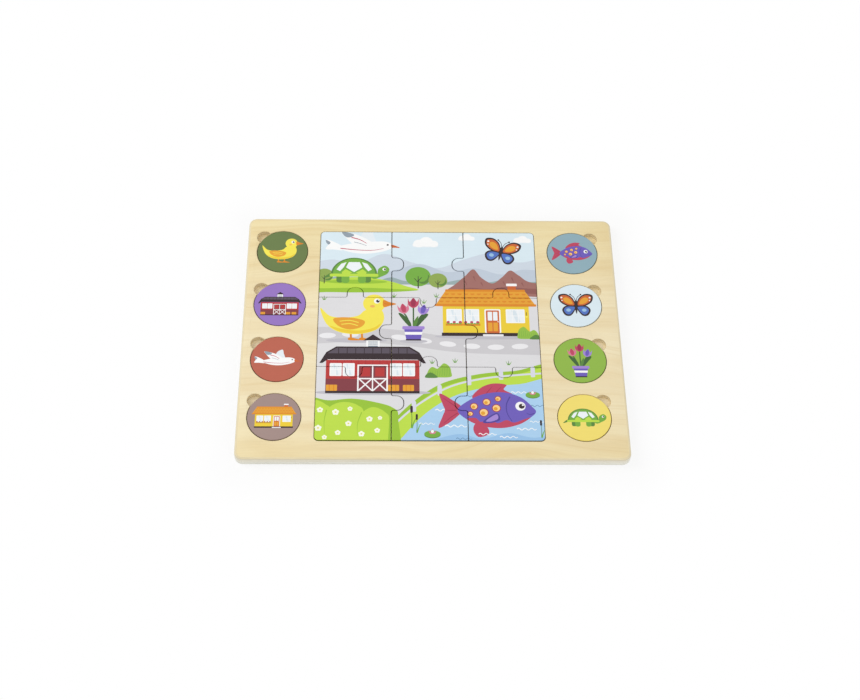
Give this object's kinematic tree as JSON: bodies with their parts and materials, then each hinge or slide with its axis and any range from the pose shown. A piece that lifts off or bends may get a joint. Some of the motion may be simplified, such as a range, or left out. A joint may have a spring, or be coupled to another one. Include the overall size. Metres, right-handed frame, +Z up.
{
  "type": "wooden matching puzzle",
  "caption": "Flat wooden puzzle tray with an interlocking jigsaw picture and a column of round picture tiles in pockets with finger notches down each side.",
  "frame": {"origin": "middle of the tray's underside, on the surface it lies on", "axes": "+X along the tray's long side, to the right of the child; +Y away from the child; +Z up, out of the printed side"},
  "size_m": [0.3, 0.227, 0.0083],
  "materials": {
    "frame_wood": "pale basswood plywood, sanded, thin satin varnish",
    "base_wood": "pale basswood plywood, sanded, bare",
    "picture_print": "basswood plywood with a flat-coloured picture printed on top, satin",
    "tile_print_left_1": "basswood plywood, top printed moss green with one motif, satin",
    "tile_print_left_2": "basswood plywood, top printed lilac with one motif, satin",
    "tile_print_left_3": "basswood plywood, top printed brick red with one motif, satin",
    "tile_print_left_4": "basswood plywood, top printed taupe with one motif, satin",
    "tile_print_right_1": "basswood plywood, top printed dusty blue with one motif, satin",
    "tile_print_right_2": "basswood plywood, top printed pale blue with one motif, satin",
    "tile_print_right_3": "basswood plywood, top printed leaf green with one motif, satin",
    "tile_print_right_4": "basswood plywood, top printed pale yellow with one motif, satin"
  },
  "bodies": {
    "tray": {"base_board": "base_wood", "frame_board": "frame_wood"},
    "piece_1_1": {"puzzle_piece_1_1": "picture_print"},
    "piece_1_2": {"puzzle_piece_1_2": "picture_print"},
    "piece_1_3": {"puzzle_piece_1_3": "picture_print"},
    "piece_2_1": {"puzzle_piece_2_1": "picture_print"},
    "piece_2_2": {"puzzle_piece_2_2": "picture_print"},
    "piece_2_3": {"puzzle_piece_2_3": "picture_print"},
    "piece_3_1": {"puzzle_piece_3_1": "picture_print"},
    "piece_3_2": {"puzzle_piece_3_2": "picture_print"},
    "piece_3_3": {"puzzle_piece_3_3": "picture_print"},
    "tile_left_1": {"round_tile_left_1": "tile_print_left_1"},
    "tile_left_2": {"round_tile_left_2": "tile_print_left_2"},
    "tile_left_3": {"round_tile_left_3": "tile_print_left_3"},
    "tile_left_4": {"round_tile_left_4": "tile_print_left_4"},
    "tile_right_1": {"round_tile_right_1": "tile_print_right_1"},
    "tile_right_2": {"round_tile_right_2": "tile_print_right_2"},
    "tile_right_3": {"round_tile_right_3": "tile_print_right_3"},
    "tile_right_4": {"round_tile_right_4": "tile_print_right_4"}
  },
  "joints": [
    {"name": "lift_piece_1_1", "type": "slide", "parent": "tray", "child": "piece_1_1", "axis": [0, 0, 1], "range_m": [0, 0.04]},
    {"name": "lift_piece_1_2", "type": "slide", "parent": "tray", "child": "piece_1_2", "axis": [0, 0, 1], "range_m": [0, 0.04]},
    {"name": "lift_piece_1_3", "type": "slide", "parent": "tray", "child": "piece_1_3", "axis": [0, 0, 1], "range_m": [0, 0.04]},
    {"name": "lift_piece_2_1", "type": "slide", "parent": "tray", "child": "piece_2_1", "axis": [0, 0, 1], "range_m": [0, 0.04]},
    {"name": "lift_piece_2_2", "type": "slide", "parent": "tray", "child": "piece_2_2", "axis": [0, 0, 1], "range_m": [0, 0.04]},
    {"name": "lift_piece_2_3", "type": "slide", "parent": "tray", "child": "piece_2_3", "axis": [0, 0, 1], "range_m": [0, 0.04]},
    {"name": "lift_piece_3_1", "type": "slide", "parent": "tray", "child": "piece_3_1", "axis": [0, 0, 1], "range_m": [0, 0.04]},
    {"name": "lift_piece_3_2", "type": "slide", "parent": "tray", "child": "piece_3_2", "axis": [0, 0, 1], "range_m": [0, 0.04]},
    {"name": "lift_piece_3_3", "type": "slide", "parent": "tray", "child": "piece_3_3", "axis": [0, 0, 1], "range_m": [0, 0.04]},
    {"name": "lift_tile_left_1", "type": "slide", "parent": "tray", "child": "tile_left_1", "axis": [0, 0, 1], "range_m": [0, 0.04]},
    {"name": "lift_tile_left_2", "type": "slide", "parent": "tray", "child": "tile_left_2", "axis": [0, 0, 1], "range_m": [0, 0.04]},
    {"name": "lift_tile_left_3", "type": "slide", "parent": "tray", "child": "tile_left_3", "axis": [0, 0, 1], "range_m": [0, 0.04]},
    {"name": "lift_tile_left_4", "type": "slide", "parent": "tray", "child": "tile_left_4", "axis": [0, 0, 1], "range_m": [0, 0.04]},
    {"name": "lift_tile_right_1", "type": "slide", "parent": "tray", "child": "tile_right_1", "axis": [0, 0, 1], "range_m": [0, 0.04]},
    {"name": "lift_tile_right_2", "type": "slide", "parent": "tray", "child": "tile_right_2", "axis": [0, 0, 1], "range_m": [0, 0.04]},
    {"name": "lift_tile_right_3", "type": "slide", "parent": "tray", "child": "tile_right_3", "axis": [0, 0, 1], "range_m": [0, 0.04]},
    {"name": "lift_tile_right_4", "type": "slide", "parent": "tray", "child": "tile_right_4", "axis": [0, 0, 1], "range_m": [0, 0.04]}
  ]
}
